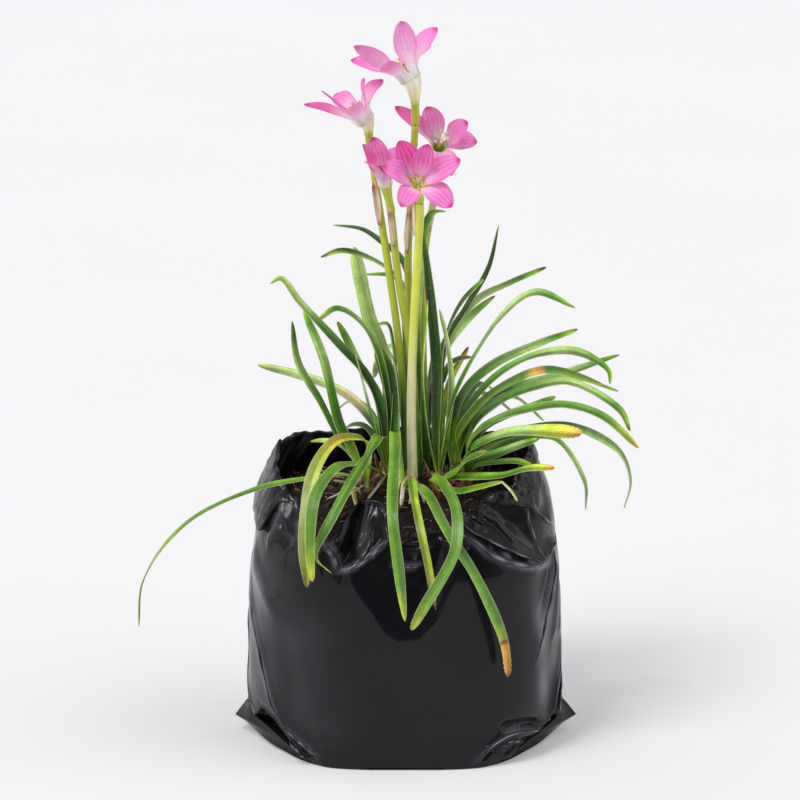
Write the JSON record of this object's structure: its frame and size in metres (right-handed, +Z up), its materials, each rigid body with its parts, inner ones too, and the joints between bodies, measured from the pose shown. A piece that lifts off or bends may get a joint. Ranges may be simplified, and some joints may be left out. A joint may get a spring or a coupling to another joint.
{
  "type": "potted rain lily",
  "caption": "Flowering rain lily clump with arching strap leaves, slender scapes and pink funnel blooms, growing in a black film grow bag.",
  "frame": {"origin": "centre of the bag's flat base, on the surface it stands on", "axes": "+Z up along the scapes, +X to the viewer's right, +Y away from the viewer"},
  "size_m": [0.2489, 0.1701, 0.3655],
  "materials": {
    "film": "black polythene film, soft gloss with folds",
    "soil": "moist dark potting mix with bark, fibre and perlite",
    "bulb": "dry red-brown tunic over a cream neck",
    "leaf": "satin green strap leaf with fine parallel veins",
    "scape": "smooth yellow-green stalk, paler at the foot",
    "spathe": "thin papery bract, pink-brown",
    "petal": "soft pink petal with darker veins and a pale throat",
    "stamen": "matt yellow anthers on white filaments"
  },
  "bodies": {
    "root": {"bloom_front": "petal", "bloom_left": "petal", "bloom_low": "petal", "bloom_right": "petal", "bloom_top": "petal", "bulb_1": "bulb", "bulb_10": "bulb", "bulb_2": "bulb", "bulb_3": "bulb", "bulb_4": "bulb", "bulb_5": "bulb", "bulb_6": "bulb", "bulb_7": "bulb", "bulb_8": "bulb", "bulb_9": "bulb", "grow_bag": "film", "leaves_1": "leaf", "leaves_10": "leaf", "leaves_2": "leaf", "leaves_3": "leaf", "leaves_4": "leaf", "leaves_5": "leaf", "leaves_6": "leaf", "leaves_7": "leaf", "leaves_8": "leaf", "leaves_9": "leaf", "scape_front": "scape", "scape_left": "scape", "scape_low": "scape", "scape_right": "scape", "scape_top": "scape", "soil": "soil", "spathe_front": "spathe", "spathe_left": "spathe", "spathe_low": "spathe", "spathe_right": "spathe", "spathe_top": "spathe", "stamens_front": "stamen", "stamens_left": "stamen", "stamens_low": "stamen", "stamens_right": "stamen", "stamens_top": "stamen"}
  },
  "joints": []
}
